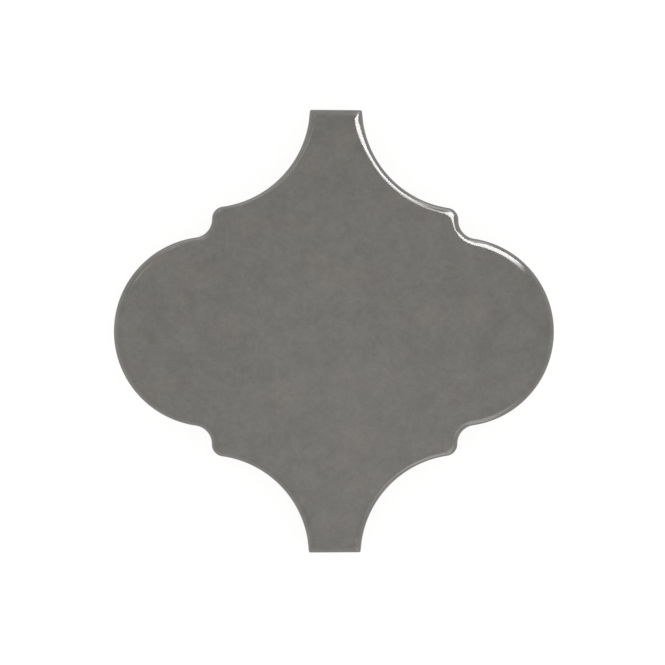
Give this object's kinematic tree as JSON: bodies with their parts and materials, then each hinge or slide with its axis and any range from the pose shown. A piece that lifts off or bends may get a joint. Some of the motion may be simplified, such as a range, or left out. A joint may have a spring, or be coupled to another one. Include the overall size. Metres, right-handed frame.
{
  "type": "wall tile",
  "caption": "Flat arabesque wall tile in glazed ceramic: lobed sides, flat-ended necks, rounded face edge and ribbed back, bonded to a wall so that its outline interlocks with its neighbours.",
  "frame": {"origin": "centre of the back plane, where the tile rests on a floor or is bonded to a wall", "axes": "+Z out of the glazed face, +Y towards the upper neck end, +X towards the right side lobe"},
  "size_m": [0.1196, 0.1204, 0.009],
  "materials": {
    "glaze": "gloss"
  },
  "bodies": {
    "root": {"tile": "glaze"}
  },
  "joints": []
}
